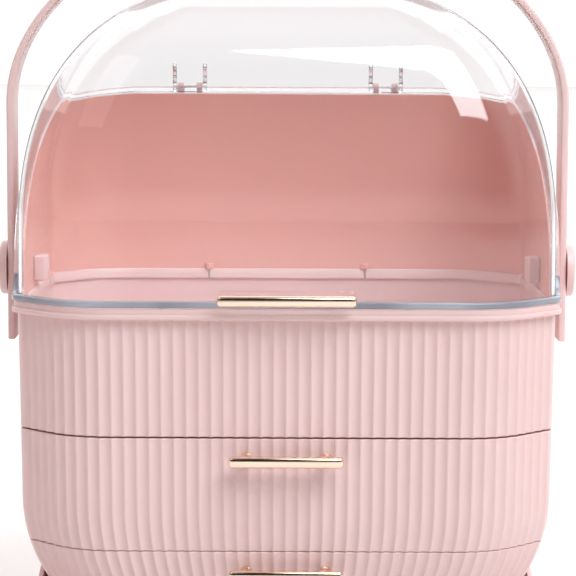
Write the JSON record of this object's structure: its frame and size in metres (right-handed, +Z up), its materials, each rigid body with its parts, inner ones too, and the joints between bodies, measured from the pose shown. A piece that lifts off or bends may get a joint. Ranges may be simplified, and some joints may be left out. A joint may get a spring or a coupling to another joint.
{
  "type": "makeup storage case with handle",
  "caption": "Egg-shaped makeup case in ribbed plastic: open tray under a clear hinged dome lid, stacked pull-out drawers, and a carry handle that folds back.",
  "frame": {"origin": "centre of the overall bounding box on the floor that the feet stand on", "axes": "+Z up, +X to the right seen from the front, +Y to the back, drawers open towards -Y"},
  "size_m": [0.3096, 0.2115, 0.3826],
  "materials": {
    "pink_plastic": "satin pale pink moulded plastic",
    "clear_plastic": "clear polished plastic",
    "gold_metal": "polished pale gold",
    "soft_rubber": "matt soft rubber",
    "steel": "plain steel"
  },
  "bodies": {
    "case": {"base_stand": "pink_plastic", "cabinet_shell": "pink_plastic", "middle_shelf": "pink_plastic", "upper_runner_left": "pink_plastic", "upper_runner_right": "pink_plastic", "lower_runner_left": "pink_plastic", "lower_runner_right": "pink_plastic", "top_tray": "pink_plastic", "tray_rim": "pink_plastic", "back_shell": "pink_plastic", "pivot_cap_left": "pink_plastic", "pivot_cap_right": "pink_plastic", "pivot_retainer_left": "pink_plastic", "pivot_retainer_right": "pink_plastic", "rubber_feet": "soft_rubber", "lid_bumpers": "soft_rubber", "stand_screws": "steel", "back_shell_screws": "steel", "hinge_pin_left": "steel", "hinge_pin_right": "steel", "pivot_pin_left": "steel", "pivot_pin_right": "steel"},
    "upper_drawer": {"upper_drawer_front": "pink_plastic", "upper_drawer_box": "pink_plastic", "upper_drawer_pull": "gold_metal", "upper_pull_screws": "steel"},
    "lower_drawer": {"lower_drawer_front": "pink_plastic", "lower_drawer_box": "pink_plastic", "lower_drawer_pull": "gold_metal", "lower_pull_screws": "steel"},
    "lid": {"clear_lid": "clear_plastic", "lid_pull": "gold_metal"},
    "handle": {"carry_handle": "pink_plastic"}
  },
  "joints": [
    {"name": "upper_drawer_slide", "type": "slide", "parent": "case", "child": "upper_drawer", "axis": [0, -1, 0], "range_m": [0, 0.12]},
    {"name": "lower_drawer_slide", "type": "slide", "parent": "case", "child": "lower_drawer", "axis": [0, -1, 0], "range_m": [0, 0.095]},
    {"name": "lid_hinge", "type": "hinge", "parent": "case", "child": "lid", "pos_m": [0, 0.10043, 0.2857], "axis": [-1, 0, 0], "range_deg": [0, 90]},
    {"name": "handle_pivot", "type": "hinge", "parent": "case", "child": "handle", "pos_m": [0, 0.0074, 0.1908], "axis": [-1, 0, 0], "range_deg": [0, 135]}
  ],
  "couplings": [
    {"joint": "handle_pivot", "follows": "lid_hinge", "ratio": 1.5}
  ]
}
